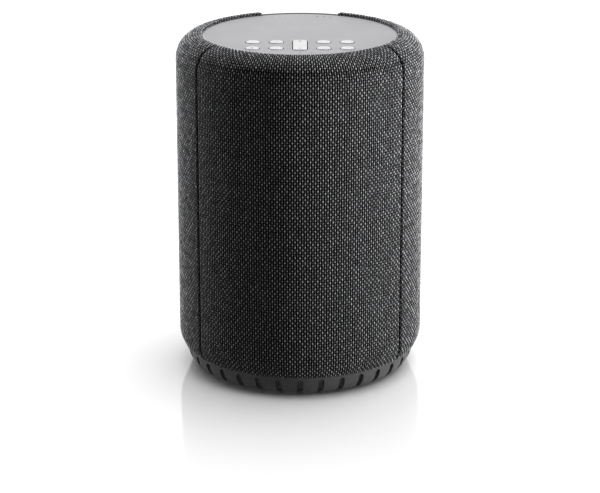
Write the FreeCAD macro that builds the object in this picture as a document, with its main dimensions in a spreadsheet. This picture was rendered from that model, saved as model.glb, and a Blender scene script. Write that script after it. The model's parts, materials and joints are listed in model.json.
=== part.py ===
"""Cylindrical smart speaker, cloth-covered, with a keypad on top. Millimetres, +Z up, front towards -Y.

The origin is the centre of the foot ring's underside. Every driving size is a cell of the sheet Sizes.
"""

import FreeCAD, Part

import math
import os

import Sketcher

doc = FreeCAD.newDocument("smart_speaker")
sheet = doc.addObject("Spreadsheet::Sheet", "Sizes")
pieces = []


class Size:
    """A number together with the sheet expression that gives it."""

    def __init__(self, value, text):
        self.value = float(value)
        self.text = text

    def __add__(self, other):
        other = size(other)
        return Size(self.value + other.value, f"({self.text} + {other.text})")

    def __radd__(self, other):
        return size(other) + self

    def __sub__(self, other):
        other = size(other)
        return Size(self.value - other.value, f"({self.text} - {other.text})")

    def __rsub__(self, other):
        return size(other) - self

    def __mul__(self, other):
        other = size(other)
        return Size(self.value * other.value, f"({self.text} * {other.text})")

    def __rmul__(self, other):
        return size(other) * self

    def __truediv__(self, other):
        other = size(other)
        return Size(self.value / other.value, f"({self.text} / {other.text})")

    def __neg__(self):
        return Size(-self.value, f"(0 - {self.text})")


def size(number):
    return number if isinstance(number, Size) else Size(number, repr(float(number)))


def root(number):
    return Size(math.sqrt(number.value), f"sqrt({number.text})")


def cosine(degrees):
    degrees = size(degrees)
    return Size(math.cos(math.radians(degrees.value)), f"cos({degrees.text})")


def sine(degrees):
    degrees = size(degrees)
    return Size(math.sin(math.radians(degrees.value)), f"sin({degrees.text})")


cell_count = 0


def cell(alias, value, note):
    """A driving size: a named cell of the sheet."""
    global cell_count
    cell_count += 1
    sheet.set(f"A{cell_count}", note)
    sheet.set(f"B{cell_count}", repr(float(value)))
    sheet.setAlias(f"B{cell_count}", alias)
    return Size(value, f"Sizes.{alias}")


# Outer form
body_height = cell("body_height", 193, "floor to the top of the cloth")
body_radius = cell("body_radius", 69.5, "outside of the cloth")
shoulder_radius = cell("shoulder_radius", 13.9, "rounding of the top edge")
base_curve = cell("base_curve", 17, "rounding of the cloth above the foot")
base_curve_z = cell("base_curve_z", 22, "height at which that rounding starts")
skirt_z = cell("skirt_z", 12, "lower edge of the cloth")
cloth_wall = cell("cloth_wall", 1.2, "cloth")
shell_wall = cell("shell_wall", 2.3, "grille shell under the cloth")
skin_gap = cell("skin_gap", 0.1, "cloth to shell")
front_span = cell("front_span", 108.3, "angle of the front panel, degrees")
spine_span = cell("spine_span", 46, "angle of the rear spine, degrees")
seam_gap = cell("seam_gap", 0.6, "angle left open at each seam, degrees")
cloth_tuck = cell("cloth_tuck", 2, "angle of a shell given up to the turned cloth edges, degrees")
slack = cell("slack", 0.3, "room between separate mouldings")

# Foot
foot_radius = cell("foot_radius", 54, "outer edge of the foot's contact face")
foot_round = cell("foot_round", 10.9, "rounding of the foot ring")
foot_tilt = cell("foot_tilt", 8, "lean of the foot ring's side, degrees")
foot_inner = cell("foot_inner", 44, "inner edge of the contact face")
foot_step = cell("foot_step", 4.2, "thickness under the chassis")
notch_count = 34
notch_width = cell("notch_width", 3.3, "grip notch")
notch_top = cell("notch_top", 11, "top of a notch")
notch_depth = cell("notch_depth", 1.9, "depth of a notch")
chassis_radius = cell("chassis_radius", 57.5, "lower chassis")
chassis_wall = cell("chassis_wall", 3, "lower chassis")
chassis_top = cell("chassis_top", 20, "top of the chassis wall")

# Keypad
lip_depth = cell("lip_depth", 1.7, "top plate below the cloth lip")
plate_radius = cell("plate_radius", 54.3, "top plate")
plate_wall = cell("plate_wall", 2.0, "top plate")
button_radius = cell("button_radius", 3.75, "button cap")
button_gap = cell("button_gap", 0.45, "gap round a button")
button_rise = cell("button_rise", 0.4, "cap above the plate")
column_pitch = cell("column_pitch", 12.9, "between button columns")
row_pitch = cell("row_pitch", 15, "between button rows")
keypad_y = cell("keypad_y", 27.3, "keypad centre, forward of the axis")
dot_radius = cell("dot_radius", 0.5, "indicator lens")
dot_arc = cell("dot_arc", 48.1, "arc of the indicator lenses")
dot_step = cell("dot_step", 4.78, "angle between indicators, degrees")
status_arc = cell("status_arc", 45.2, "status lenses, forward of the axis")
status_pitch = cell("status_pitch", 6.4, "between status lenses")
deck_z = cell("deck_z", 172, "underside of the top deck")
deck_floor = cell("deck_floor", 2.5, "top deck")
pivot_radius = cell("pivot_radius", 0.8, "rocker pin")

# Sealed speaker box
box_half = cell("box_half", 46, "half width of the speaker box")
box_front = cell("box_front", 46, "baffle face, forward of the axis")
baffle_wall = cell("baffle_wall", 5.2, "baffle")
seal_wall = cell("seal_wall", 0.8, "baffle seal")
box_back = cell("box_back", 30, "back of the speaker box")
box_low = cell("box_low", 24, "underside of the speaker box")
box_high = cell("box_high", 168, "top of the speaker box")
box_wall = cell("box_wall", 3, "speaker box")
driver_z = cell("driver_z", 104, "height of the driver's axis")
driver_hole = cell("driver_hole", 34.6, "hole in the baffle")
radiator_z = cell("radiator_z", 96, "height of the radiators' axis")
radiator_y = cell("radiator_y", 5, "radiators' axis, forward of the centre")
radiator_hole = cell("radiator_hole", 28.6, "hole in the box side")

# Electronics
board_y = cell("board_y", 38, "front face of the rear boards")
board_wall = cell("board_wall", 1.6, "circuit boards")
board_half = cell("board_half", 40, "half width of the rear boards")
recess_y = cell("recess_y", 63, "floor of the connector recess")
inlet_z = cell("inlet_z", 40, "height of the mains inlet")
socket_z = cell("socket_z", 60, "height of the audio socket")
socket_x = cell("socket_x", 8, "audio socket and reset button, off centre")
socket_bore = cell("socket_bore", 1.8, "radius of the audio socket's bore")
doc.recompute()

# Worked out from the driving sizes
plate_top = body_height - lip_depth
plate_low = plate_top - plate_wall
shoulder_r = body_radius - shoulder_radius
shoulder_z = body_height - shoulder_radius
base_curve_r = body_radius - base_curve
shell_out = cloth_wall + skin_gap
shell_in = shell_out + shell_wall
side_span = (360 - front_span - spine_span) / 2
side_turn = front_span / 2 + side_span / 2
tub_front = box_front - baffle_wall - seal_wall
baffle_back = box_front - baffle_wall
row_y = [keypad_y * -1 + row_pitch / 2, keypad_y * -1 - row_pitch / 2]

FRONT = -90
BACK = 90


def bind(thing, prop, number):
    """Drives one property from the sheet."""
    thing.setExpression(prop, size(number).text)


def put(thing, x=0, y=0, z=0, axis=(0, 0, 1), angle=0):
    """Places a sub-part, with its position driven from the sheet."""
    thing.Placement = FreeCAD.Placement(
        FreeCAD.Vector(size(x).value, size(y).value, size(z).value),
        FreeCAD.Rotation(FreeCAD.Vector(*axis), size(angle).value),
    )
    for letter, number in zip("xyz", (x, y, z)):
        bind(thing, f"Placement.Base.{letter}", number)
    return thing


def keep(thing, label):
    """Marks an object as a sub-part that is exported under this name."""
    thing.Label = label
    pieces.append(thing)
    return thing


def pin_down(sketch, geo, pos, x, y):
    """Fixes one sketch point at (x, y)."""
    for kind, axis, number in (("DistanceX", -2, x), ("DistanceY", -1, y)):
        number = size(number)
        if abs(number.value) < 1e-9:
            sketch.addConstraint(Sketcher.Constraint("PointOnObject", geo, pos, axis))
        else:
            index = sketch.addConstraint(
                Sketcher.Constraint(kind, -1, 1, geo, pos, number.value)
            )
            sketch.setExpression(f"Constraints[{index}]", number.text)


def arc_between(start, end, radius):
    """Arc from start to end. A positive radius turns left, a negative one right."""
    chord = end - start
    middle = (start + end) * 0.5
    left = FreeCAD.Vector(-chord.y, chord.x, 0).normalize()
    rise = math.sqrt(max(radius**2 - (chord.Length / 2) ** 2, 0))
    centre = middle + left * rise * (1 if radius > 0 else -1)
    angles = [math.atan2(p.y - centre.y, p.x - centre.x) for p in (start, end)]
    circle = Part.Circle(centre, FreeCAD.Vector(0, 0, 1), abs(radius))
    if radius < 0:
        angles.reverse()
    return Part.ArcOfCircle(circle, *angles)


def outline(sketch, corners):
    """A closed outline. A corner with a third entry starts an arc of that radius to the next corner."""
    points = [FreeCAD.Vector(size(c[0]).value, size(c[1]).value, 0) for c in corners]
    ends = []
    for i, corner in enumerate(corners):
        start = points[i]
        end = points[(i + 1) % len(points)]
        if len(corner) == 3:
            radius = size(corner[2])
            geo = sketch.addGeometry(arc_between(start, end, radius.value), False)
            forward = radius.value > 0
            bend = radius if forward else -radius
            index = sketch.addConstraint(Sketcher.Constraint("Radius", geo, bend.value))
            sketch.setExpression(f"Constraints[{index}]", bend.text)
            ends.append((geo, 1, 2) if forward else (geo, 2, 1))
        else:
            geo = sketch.addGeometry(Part.LineSegment(start, end), False)
            ends.append((geo, 1, 2))
    for i, (geo, first, last) in enumerate(ends):
        after, after_first, _ = ends[(i + 1) % len(ends)]
        sketch.addConstraint(
            Sketcher.Constraint("Coincident", geo, last, after, after_first)
        )
        pin_down(sketch, geo, first, corners[i][0], corners[i][1])


def ring_outline(sketch, x, y, radius):
    """A circle in a sketch."""
    radius = size(radius)
    centre = FreeCAD.Vector(size(x).value, size(y).value, 0)
    circle = Part.Circle(centre, FreeCAD.Vector(0, 0, 1), radius.value)
    geo = sketch.addGeometry(circle, False)
    index = sketch.addConstraint(Sketcher.Constraint("Radius", geo, radius.value))
    sketch.setExpression(f"Constraints[{index}]", radius.text)
    pin_down(sketch, geo, 3, x, y)


def rectangle(low_x, low_y, high_x, high_y):
    return [(low_x, low_y), (high_x, low_y), (high_x, high_y), (low_x, high_y)]


def rounded_rectangle(half_x, half_y, radius, y=0):
    """Corners of a rectangle about (0, y) with rounded corners."""
    x, in_x = half_x, half_x - radius
    low, high = y - half_y, y + half_y
    return [
        (-in_x, low),
        (in_x, low, radius),
        (x, low + radius),
        (x, high - radius, radius),
        (in_x, high),
        (-in_x, high, radius),
        (-x, high - radius),
        (-x, low + radius, radius),
    ]


class Body:
    """A sub-part made as a PartDesign body."""

    def __init__(self, label):
        self.body = doc.addObject("PartDesign::Body", label)
        self.label = label
        keep(self.body, label)

    def datum(self, role):
        return [f for f in self.body.Origin.OriginFeatures if f.Role == role][0]

    def sketch(self, role, level=0, lean=None):
        """A sketch on an origin plane, moved along its normal by level, or leaned about its own Y."""
        made = self.body.newObject("Sketcher::SketchObject", f"{self.label}_sketch")
        made.AttachmentSupport = [(self.datum(role), "")]
        made.MapMode = "FlatFace"
        if lean is not None:
            turn = FreeCAD.Rotation(FreeCAD.Vector(0, 1, 0), lean)
            made.AttachmentOffset = FreeCAD.Placement(FreeCAD.Vector(0, 0, 0), turn)
        bind(made, "AttachmentOffset.Base.z", level)
        return made

    def feature(self, kind, sketch):
        made = self.body.newObject(f"PartDesign::{kind}", f"{self.label}_{kind.lower()}")
        made.Profile = sketch
        sketch.Visibility = False
        return made

    def pad(self, sketch, length, back=False):
        made = self.feature("Pad", sketch)
        bind(made, "Length", length)
        made.Reversed = back
        return made

    def pocket(self, sketch, length, ahead=False):
        """Cuts against the sketch's normal, or along it if ahead."""
        made = self.feature("Pocket", sketch)
        bind(made, "Length", length)
        made.Reversed = ahead
        return made

    def turn(self, sketch, angle=360, middle=False):
        made = self.feature("Revolution", sketch)
        made.ReferenceAxis = (sketch, ["V_Axis"])
        made.Midplane = middle
        bind(made, "Angle", angle)
        return made

    def around(self, feature, count, angle=360):
        """Repeats a feature round the body's Z axis."""
        made = self.body.newObject("PartDesign::PolarPattern", f"{self.label}_pattern")
        made.Originals = [feature]
        made.Axis = (self.datum("Z_Axis"), [""])
        made.Occurrences = count
        bind(made, "Angle", angle)
        self.body.Tip = made
        return made

    def along(self, feature, axis, count, length):
        """Repeats a feature along one of the body's axes."""
        made = self.body.newObject("PartDesign::LinearPattern", f"{self.label}_pattern")
        made.Originals = [feature]
        made.Direction = (self.datum(axis), [""])
        made.Occurrences = count
        bind(made, "Length", length)
        self.body.Tip = made
        return made

    def at(self, **where):
        put(self.body, **where)
        return self


def turned(label, corners, angle=360, middle=False):
    """A body turned about Z from (radius, height) corners."""
    made = Body(label)
    profile = made.sketch("XZ_Plane")
    outline(profile, corners)
    made.turn(profile, angle, middle)
    return made


def slab(label, corners, low, thickness, role="XY_Plane"):
    """A body padded from a flat outline."""
    made = Body(label)
    profile = made.sketch(role, low)
    outline(profile, corners)
    made.pad(profile, thickness)
    return made


def block(label, x, y, z):
    """A box between two corners, each of x, y and z a (low, high) pair."""
    made = doc.addObject("Part::Box", label)
    for prop, (low, high) in zip(("Length", "Width", "Height"), (x, y, z)):
        bind(made, prop, size(high) - low)
    return put(made, x[0], y[0], z[0])


def rod(label, radius, length, x, y, z, axis=(0, 0, 1), angle=0):
    made = doc.addObject("Part::Cylinder", label)
    bind(made, "Radius", radius)
    bind(made, "Height", length)
    return put(made, x, y, z, axis, angle)


def together(label, members):
    """Separate solids that share one name."""
    made = doc.addObject("Part::Compound", label)
    made.Links = members
    return keep(made, label)


def joined(name, members):
    made = doc.addObject("Part::MultiFuse", name)
    made.Shapes = members
    return made


UP = ((0, 0, 1), 0)
DOWN = ((1, 0, 0), 180)
FORWARD = ((1, 0, 0), 90)
REARWARD = ((1, 0, 0), -90)
RIGHTWARD = ((0, 1, 0), 90)
LEFTWARD = ((0, 1, 0), -90)
VECTORS = {
    UP: (0, 0, 1),
    DOWN: (0, 0, -1),
    FORWARD: (0, -1, 0),
    REARWARD: (0, 1, 0),
    RIGHTWARD: (1, 0, 0),
    LEFTWARD: (-1, 0, 0),
}


def screws(label, seats, facing, shank, length, head, head_height):
    """Pan-head screws. Each seat is where the head meets the part; the head stands out along facing."""
    made = []
    for number, (x, y, z) in enumerate(seats):
        step = VECTORS[facing]
        tip = [size(p) - size(length) * s for p, s in zip((x, y, z), step)]
        stem = rod(f"{label}_shank_{number}", shank, size(length), *tip, *facing)
        cap = rod(f"{label}_head_{number}", head, head_height, x, y, z, *facing)
        screw = joined(f"{label}_screw_{number}", [stem, cap])
        socket_at = [size(p) + size(head_height) / 2 * s for p, s in zip((x, y, z), step)]
        socket = doc.addObject("Part::Prism", f"{label}_socket_{number}")
        socket.Polygon = 6
        bind(socket, "Circumradius", size(head) / 2)
        bind(socket, "Height", head_height)
        put(socket, *socket_at, *facing)
        cut = doc.addObject("Part::Cut", f"{label}_{number}")
        cut.Base = screw
        cut.Tool = socket
        made.append(cut)
    return together(label, made)


def band(inset_out, inset_in, low, lip_r, curve_low=None):
    """Section of a skin between two insets from the outside, from the skirt to the top lip."""
    out_shoulder = shoulder_radius - inset_out
    in_shoulder = shoulder_radius - inset_in
    out_base = base_curve - inset_out
    in_base = base_curve - inset_in
    drop = base_curve_z - low
    out_low_r = base_curve_r + root(out_base * out_base - drop * drop)
    in_low_r = base_curve_r + root(in_base * in_base - drop * drop)
    return [
        (in_low_r, low),
        (out_low_r, low, out_base),
        (body_radius - inset_out, base_curve_z),
        (body_radius - inset_out, shoulder_z, out_shoulder),
        (shoulder_r, shoulder_z + out_shoulder),
        (lip_r, shoulder_z + out_shoulder),
        (lip_r, shoulder_z + in_shoulder),
        (shoulder_r, shoulder_z + in_shoulder, -in_shoulder),
        (body_radius - inset_in, shoulder_z),
        (body_radius - inset_in, base_curve_z, -in_base),
    ]


PANELS = {
    "front": (front_span, size(FRONT)),
    "right": (side_span, size(FRONT) + side_turn),
    "left": (side_span, size(FRONT) - side_turn),
}


def cloth(side):
    """One cloth panel, which covers its shell from the skirt to the lip round the top plate."""
    span, heading = PANELS[side]
    lip = plate_radius + slack
    made = turned(f"{side}_cloth", band(size(0), cloth_wall, skirt_z, lip), span - seam_gap, True)
    made.at(angle=heading)


def grille_shell(side):
    """The moulded shell under one cloth panel, open with rows of sound slots."""
    span, heading = PANELS[side]
    low = skirt_z + 1.3
    lip = plate_radius + slack + 0.8
    held = span - seam_gap - cloth_tuck
    made = turned(f"{side}_grille_shell", band(shell_out, shell_in, low, lip), held, True)
    columns = 9
    margin = 8
    sweep = held - 2 * margin
    slots = made.sketch("YZ_Plane", 0, -sweep.value / 2)
    slot_half = 2.2
    slot_height = 23.0
    rib = 5.0
    for row in range(5):
        low_z = base_curve_z + 6 + row * (slot_height + rib)
        outline(slots, rectangle(-slot_half, low_z, slot_half, low_z + slot_height))
    cut = made.pocket(slots, body_radius, ahead=True)
    made.around(cut, columns, sweep)
    made.at(angle=heading)


def rear_spine():
    """The hard rear panel between the side cloths, with the recess that holds the connectors."""
    inset = size(0.8)
    wall = 3.0
    low = skirt_z + 0.2
    ledge = skirt_z + 1.3
    ledge_r = chassis_radius + 7.0
    top_round = shoulder_radius - inset - 0.5
    centre_r = body_radius - inset - top_round
    centre_z = plate_top - top_round
    out_base = base_curve - inset
    in_base = out_base - wall
    drop = base_curve_z - low
    ledge_drop = base_curve_z - ledge
    section = [
        (base_curve_r + root(in_base * in_base - ledge_drop * ledge_drop), ledge),
        (ledge_r, ledge),
        (ledge_r, low),
        (base_curve_r + root(out_base * out_base - drop * drop), low, out_base),
        (body_radius - inset, base_curve_z),
        (body_radius - inset, centre_z, top_round),
        (centre_r, plate_top),
        (plate_radius + slack, plate_top),
        (plate_radius + slack, plate_top - wall),
        (centre_r, plate_top - wall, -(top_round - wall)),
        (body_radius - inset - wall, centre_z),
        (body_radius - inset - wall, base_curve_z, -in_base),
    ]
    made = turned("rear_spine", section, spine_span - seam_gap, True)
    # The body is turned so that its +X faces the back: its Y runs across the spine.
    half = 19.0
    low_z = 26.0
    high_z = 76.0
    floor = 2.5
    tray = made.sketch("YZ_Plane", recess_y - floor)
    outline(tray, rectangle(-half, low_z, half, high_z))
    made.pad(tray, floor + 2.9)
    recess = made.sketch("YZ_Plane", recess_y)
    rim = 2.0
    corners = rounded_rectangle(half - rim, (high_z - low_z) / 2 - rim, 3.0, (high_z + low_z) / 2)
    outline(recess, corners)
    made.pocket(recess, 10, ahead=True)
    holes = made.sketch("YZ_Plane", recess_y + 1)
    outline(holes, rounded_rectangle(size(10.8), size(7.3), size(1.5), inlet_z))
    ring_outline(holes, socket_x, socket_z, 3.3)
    ring_outline(holes, -socket_x, socket_z, 2.7)
    made.pocket(holes, floor + 2)
    made.at(angle=BACK)


def foot_ring():
    """The rubber foot: a rounded ring with grip notches, which carries the chassis on its step."""

    def side(inset, top):
        bend = foot_round - inset
        end_r = foot_radius + bend * cosine(foot_tilt)
        end_z = foot_round - bend * sine(foot_tilt)
        top_r = end_r + (top - end_z) * sine(foot_tilt) / cosine(foot_tilt)
        return [(foot_radius, inset, bend), (end_r, end_z), (top_r, top)]

    seat_r = chassis_radius + slack
    inner = [(seat_r, skirt_z), (seat_r, foot_step), (foot_inner, foot_step)]
    made = turned("foot_ring", [(foot_inner, size(0))] + side(size(0), skirt_z) + inner)
    channel = 2.0
    notch = made.sketch("XZ_Plane", foot_radius - channel)
    half = notch_width / 2
    arch = notch_top - half
    corners = [
        (-half, size(-1)),
        (half, size(-1)),
        (half, arch, half * 1.02),
        (-half, arch),
    ]
    outline(notch, corners)
    cut = made.pocket(notch, 20, ahead=True)
    made.around(cut, notch_count)
    # The cuts go right through; a core that lies inside the ring's own section closes them at depth.
    core = made.sketch("XZ_Plane")
    within = 0.6
    core_in = foot_radius - channel - 1
    step_in = seat_r + within
    step_z = foot_step - within
    inside = [(step_in, skirt_z - 1), (step_in, step_z), (core_in, step_z), (core_in, notch_depth)]
    outline(core, side(notch_depth, skirt_z - 1) + inside)
    made.turn(core)


POST_X = 36.0
POST_Y = (-32.0, 20.0)
COVER_SCREW = 27.0


def lower_chassis():
    """The dish that the foot ring, the shells and the speaker box are fixed to."""
    floor_z = foot_step + 0.1
    floor_top = floor_z + chassis_wall
    inner = chassis_radius - chassis_wall
    rim_low = skirt_z + 0.2
    rim_high = rim_low + 1
    rim_r = chassis_radius + 6.7
    made = turned(
        "lower_chassis",
        [
            (size(0), floor_z),
            (chassis_radius, floor_z),
            (chassis_radius, rim_low),
            (rim_r, rim_low),
            (rim_r, rim_high),
            (chassis_radius, rim_high),
            (chassis_radius, chassis_top),
            (inner, chassis_top),
            (inner, floor_top),
            (size(0), floor_top),
        ],
    )
    posts = made.sketch("XY_Plane", floor_top - 0.5)
    for x in (-POST_X, POST_X):
        for y in POST_Y:
            ring_outline(posts, x, y, 4.0)
    made.pad(posts, box_low - 0.1 - floor_top + 0.5)
    bosses = made.sketch("XY_Plane", floor_top - 0.5)
    bores = made.sketch("XY_Plane", 0)
    for x in (-COVER_SCREW, COVER_SCREW):
        for y in (-COVER_SCREW, COVER_SCREW):
            ring_outline(bosses, x, y, 3.5)
            ring_outline(bores, x, y, 1.3)
    made.pad(bosses, 7)
    made.pocket(bores, 14, ahead=True)


def bottom_cover():
    """The plate that closes the underside inside the foot ring, with its four screws."""
    low = 1.5
    wall = 2.6
    head_depth = 1.3
    made = turned(
        "bottom_cover",
        [
            (size(0), low),
            (foot_inner - slack, low),
            (foot_inner - slack, low + wall),
            (size(0), low + wall),
        ],
    )
    bores = made.sketch("XY_Plane", 0)
    sinks = made.sketch("XY_Plane", 0)
    vents = made.sketch("XY_Plane", 0)
    places = [(x, y) for x in (-COVER_SCREW, COVER_SCREW) for y in (-COVER_SCREW, COVER_SCREW)]
    for x, y in places:
        ring_outline(bores, x, y, 1.5)
        ring_outline(sinks, x, y, 2.9)
    for row in range(5):
        y = 8.0 * (row - 2)
        outline(vents, rectangle(-14, y - 1.2, 14, y + 1.2))
    made.pocket(bores, 10, ahead=True)
    made.pocket(sinks, low + head_depth, ahead=True)
    made.pocket(vents, 10, ahead=True)
    seats = [(x, y, low + head_depth) for x, y in places]
    screws("bottom_cover_screws", seats, DOWN, 1.2, 7, 2.6, 1.1)


DECK_POSTS = [(-40.0, 4.0), (40.0, 4.0), (0.0, 38.0), (0.0, -6.0)]
RIBBON_SLOT = ((-8.0, 20.0), (8.0, 27.0))


def top_deck():
    """The tray that holds the control board and the top plate."""
    floor_top = deck_z + deck_floor
    wall_out = plate_radius - 0.5
    made = turned(
        "top_deck",
        [
            (size(0), deck_z),
            (body_radius - shell_in - 0.5, deck_z),
            (body_radius - shell_in - 0.5, floor_top),
            (wall_out, floor_top),
            (wall_out, plate_low - 0.1),
            (wall_out - 2.5, plate_low - 0.1),
            (wall_out - 2.5, floor_top),
            (size(0), floor_top),
        ],
    )
    posts = made.sketch("XY_Plane", floor_top - 0.5)
    for x, y in DECK_POSTS:
        ring_outline(posts, x, y, 3.0)
    made.pad(posts, 4)
    slot = made.sketch("XY_Plane", deck_z - 1)
    (low_x, low_y), (high_x, high_y) = RIBBON_SLOT
    outline(slot, rectangle(low_x, low_y, high_x, high_y))
    made.pocket(slot, 10, ahead=True)


def button_places():
    """Centres of the eight round buttons, left to right and back to front."""
    columns = [-2, -1, 1, 2]
    return [(column_pitch * c, y) for y in row_y for c in columns]


def dot_places():
    """Centres of the ten level lenses on their arc and the three status lenses at the front."""
    arc = []
    for number in range(10):
        angle = dot_step * (number - 4.5)
        arc.append((dot_arc * sine(angle), dot_arc * cosine(angle)))
    return arc + [(status_pitch * n, -status_arc) for n in (-1, 0, 1)]


ROCKER_HALF_X = 3.8
ROCKER_HALF_Y = 11.7
ROCKER_CORNER = 1.8
PIVOT_Z = 186.0


def top_plate():
    """The plate round the buttons, with two ears below it for the rocker's pin."""
    made = turned(
        "top_plate",
        [
            (size(0), plate_low),
            (plate_radius, plate_low),
            (plate_radius, plate_top - 0.4),
            (plate_radius - 0.4, plate_top),
            (size(0), plate_top),
        ],
    )
    ears = made.sketch("XY_Plane", PIVOT_Z - 1.6)
    for side in (-1, 1):
        low_x, high_x = sorted((side * 4.8, side * 6.2))
        outline(ears, rectangle(low_x, -keypad_y - 2, high_x, -keypad_y + 2))
    made.pad(ears, plate_low - PIVOT_Z + 1.6 + 0.5)
    holes = made.sketch("XY_Plane", plate_low - 1)
    for x, y in button_places():
        ring_outline(holes, x, y, button_radius + button_gap)
    for x, y in dot_places():
        ring_outline(holes, x, y, dot_radius + 0.05)
    outline(
        holes,
        rounded_rectangle(
            size(ROCKER_HALF_X) + button_gap,
            size(ROCKER_HALF_Y) + button_gap,
            size(ROCKER_CORNER) + button_gap,
            -keypad_y,
        ),
    )
    made.pocket(holes, 10, ahead=True)
    bore = made.sketch("YZ_Plane", -10)
    ring_outline(bore, -keypad_y, PIVOT_Z, pivot_radius + 0.02)
    made.pocket(bore, 20, ahead=True)


BUTTONS = [
    "power_button",
    "source_button",
    "preset_button_1",
    "preset_button_2",
    "play_button",
    "pairing_button",
    "preset_button_3",
    "preset_button_4",
]
STEM_LOW = 184.0


def button_caps():
    """Eight round caps, each with the flange that keeps it under the plate and a slightly dished top."""
    top = plate_top + button_rise
    flange_low = plate_low - 1.9
    flange_high = plate_low - 0.5
    for label, (x, y) in zip(BUTTONS, button_places()):
        made = turned(
            label,
            [
                (size(0), STEM_LOW),
                (size(1.8), STEM_LOW),
                (size(1.8), flange_low),
                (button_radius + 0.9, flange_low),
                (button_radius + 0.9, flange_high),
                (button_radius, flange_high),
                (button_radius, top - 0.35),
                (button_radius - 0.35, top),
                (size(0), top),
            ],
        )
        dish = made.sketch("XZ_Plane")
        dish_r = button_radius - 0.7
        outline(dish, [(size(0), top - 0.22), (dish_r, top + 0.02, size(-28)), (size(0), top + 0.3)])
        groove = made.feature("Groove", dish)
        groove.ReferenceAxis = (dish, ["V_Axis"])
        groove.Angle = 360
        made.at(x=x, y=y)


def volume_rocker():
    """The long key between the button columns, which rocks about its cross pin."""
    top = plate_top + button_rise
    made = slab(
        "volume_rocker",
        rounded_rectangle(size(ROCKER_HALF_X), size(ROCKER_HALF_Y), size(ROCKER_CORNER)),
        plate_low - 1.0,
        top - plate_low + 1.0,
    )
    edge = made.body.newObject("PartDesign::Fillet", "volume_rocker_fillet")
    doc.recompute()
    tip = made.body.Tip if made.body.Tip is not edge else made.body.Group[-2]
    rim = [
        f"Edge{i + 1}"
        for i, e in enumerate(tip.Shape.Edges)
        if e.BoundBox.ZMin > top.value - 0.01
    ]
    edge.Base = (tip, rim)
    edge.Radius = 0.35
    made.body.Tip = edge
    boss = made.sketch("XY_Plane", PIVOT_Z - 1.5)
    outline(boss, rectangle(-3.4, -2.2, 3.4, 2.2))
    made.pad(boss, plate_low - 1.0 - PIVOT_Z + 1.5 + 0.3)
    stems = made.sketch("XY_Plane", STEM_LOW)
    for y in (-row_pitch / 2, row_pitch / 2):
        ring_outline(stems, 0, y, 1.8)
    made.pad(stems, plate_low - 1.0 - STEM_LOW + 0.3)
    bore = made.sketch("YZ_Plane", -10)
    ring_outline(bore, 0, PIVOT_Z, pivot_radius + 0.06)
    made.pocket(bore, 20, ahead=True)
    made.at(y=-keypad_y)
    keep(rod("rocker_pin", pivot_radius, 12, -6, -keypad_y, PIVOT_Z, *RIGHTWARD), "rocker_pin")


BOARD_TOP = 179.7


def keypad_inside():
    """The light pipes, the silicone keypad and the control board under the plate."""
    pipes = []
    for number, (x, y) in enumerate(dot_places()):
        low = BOARD_TOP + 0.8
        pipes.append(rod(f"pipe_{number}", dot_radius, plate_top + 0.05 - low, x, y, low))
    together("indicator_lenses", pipes)

    sheet_low = BOARD_TOP + 0.1
    mat = slab(
        "keypad_membrane",
        rectangle(size(-30), -keypad_y - 13, size(30), -keypad_y + 13),
        sheet_low,
        1.0,
    )
    domes = mat.sketch("XY_Plane", sheet_low + 0.5)
    for x, y in button_places() + [(size(0), y) for y in row_y]:
        ring_outline(domes, x, y, 3.0)
    mat.pad(domes, STEM_LOW - 0.1 - sheet_low - 0.5)

    board = turned(
        "control_board",
        [
            (size(0), BOARD_TOP - board_wall),
            (plate_radius - 3.6, BOARD_TOP - board_wall),
            (plate_radius - 3.6, BOARD_TOP),
            (size(0), BOARD_TOP),
        ],
    )
    lamps = board.sketch("XY_Plane", BOARD_TOP - 0.2)
    for x, y in dot_places():
        outline(lamps, rectangle(x - 0.8, y - 0.5, x + 0.8, y + 0.5))
    board.pad(lamps, 0.9)


SCREW_X = 41.0


def baffle_screw_places():
    rows = [box_low + 5, radiator_z - 36, radiator_z + 36, box_high - 5]
    return [(side * SCREW_X, z) for side in (-1, 1) for z in rows]


def speaker_tub():
    """The sealed box behind the baffle, with the standoffs that carry the rear boards."""
    depth = tub_front + box_back
    made = Body("speaker_tub")
    outer = made.sketch("XZ_Plane", -box_back)
    outline(outer, rectangle(-box_half, box_low, box_half, box_high))
    made.pad(outer, depth)
    inner = made.sketch("XZ_Plane", -box_back + box_wall)
    low_x = -box_half + box_wall
    outline(inner, rectangle(low_x, box_low + box_wall, -low_x, box_high - box_wall))
    made.pocket(inner, depth, ahead=True)
    ports = made.sketch("YZ_Plane", -box_half - 5)
    ring_outline(ports, -radiator_y, radiator_z, radiator_hole)
    for across, up in RADIATOR_SCREWS:
        ring_outline(ports, across - radiator_y, radiator_z + up, 0.82)
    made.pocket(ports, box_half * 2 + 10, ahead=True)
    bosses = made.sketch("XZ_Plane", tub_front)
    bores = made.sketch("XZ_Plane", tub_front)
    for x, z in baffle_screw_places():
        ring_outline(bosses, x, z, 3.6)
        ring_outline(bores, x, z, 1.3)
    made.pad(bosses, 7, back=True)
    made.pocket(bores, 6)
    standoffs = made.sketch("XZ_Plane", -box_back + 0.5)
    for x in (-35.0, 35.0):
        for z in (32.0, 74.0, 90.0, 160.0):
            ring_outline(standoffs, x, z, 3.0)
    made.pad(standoffs, board_y - box_back - 0.1 + 0.5, back=True)
    grommet = made.sketch("XZ_Plane", -box_back - 1)
    ring_outline(grommet, CABLE_X, CABLE_Z, 3.6)
    made.pocket(grommet, box_wall + 2, ahead=True)


CABLE_X = 20.0
CABLE_Z = 60.0


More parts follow.
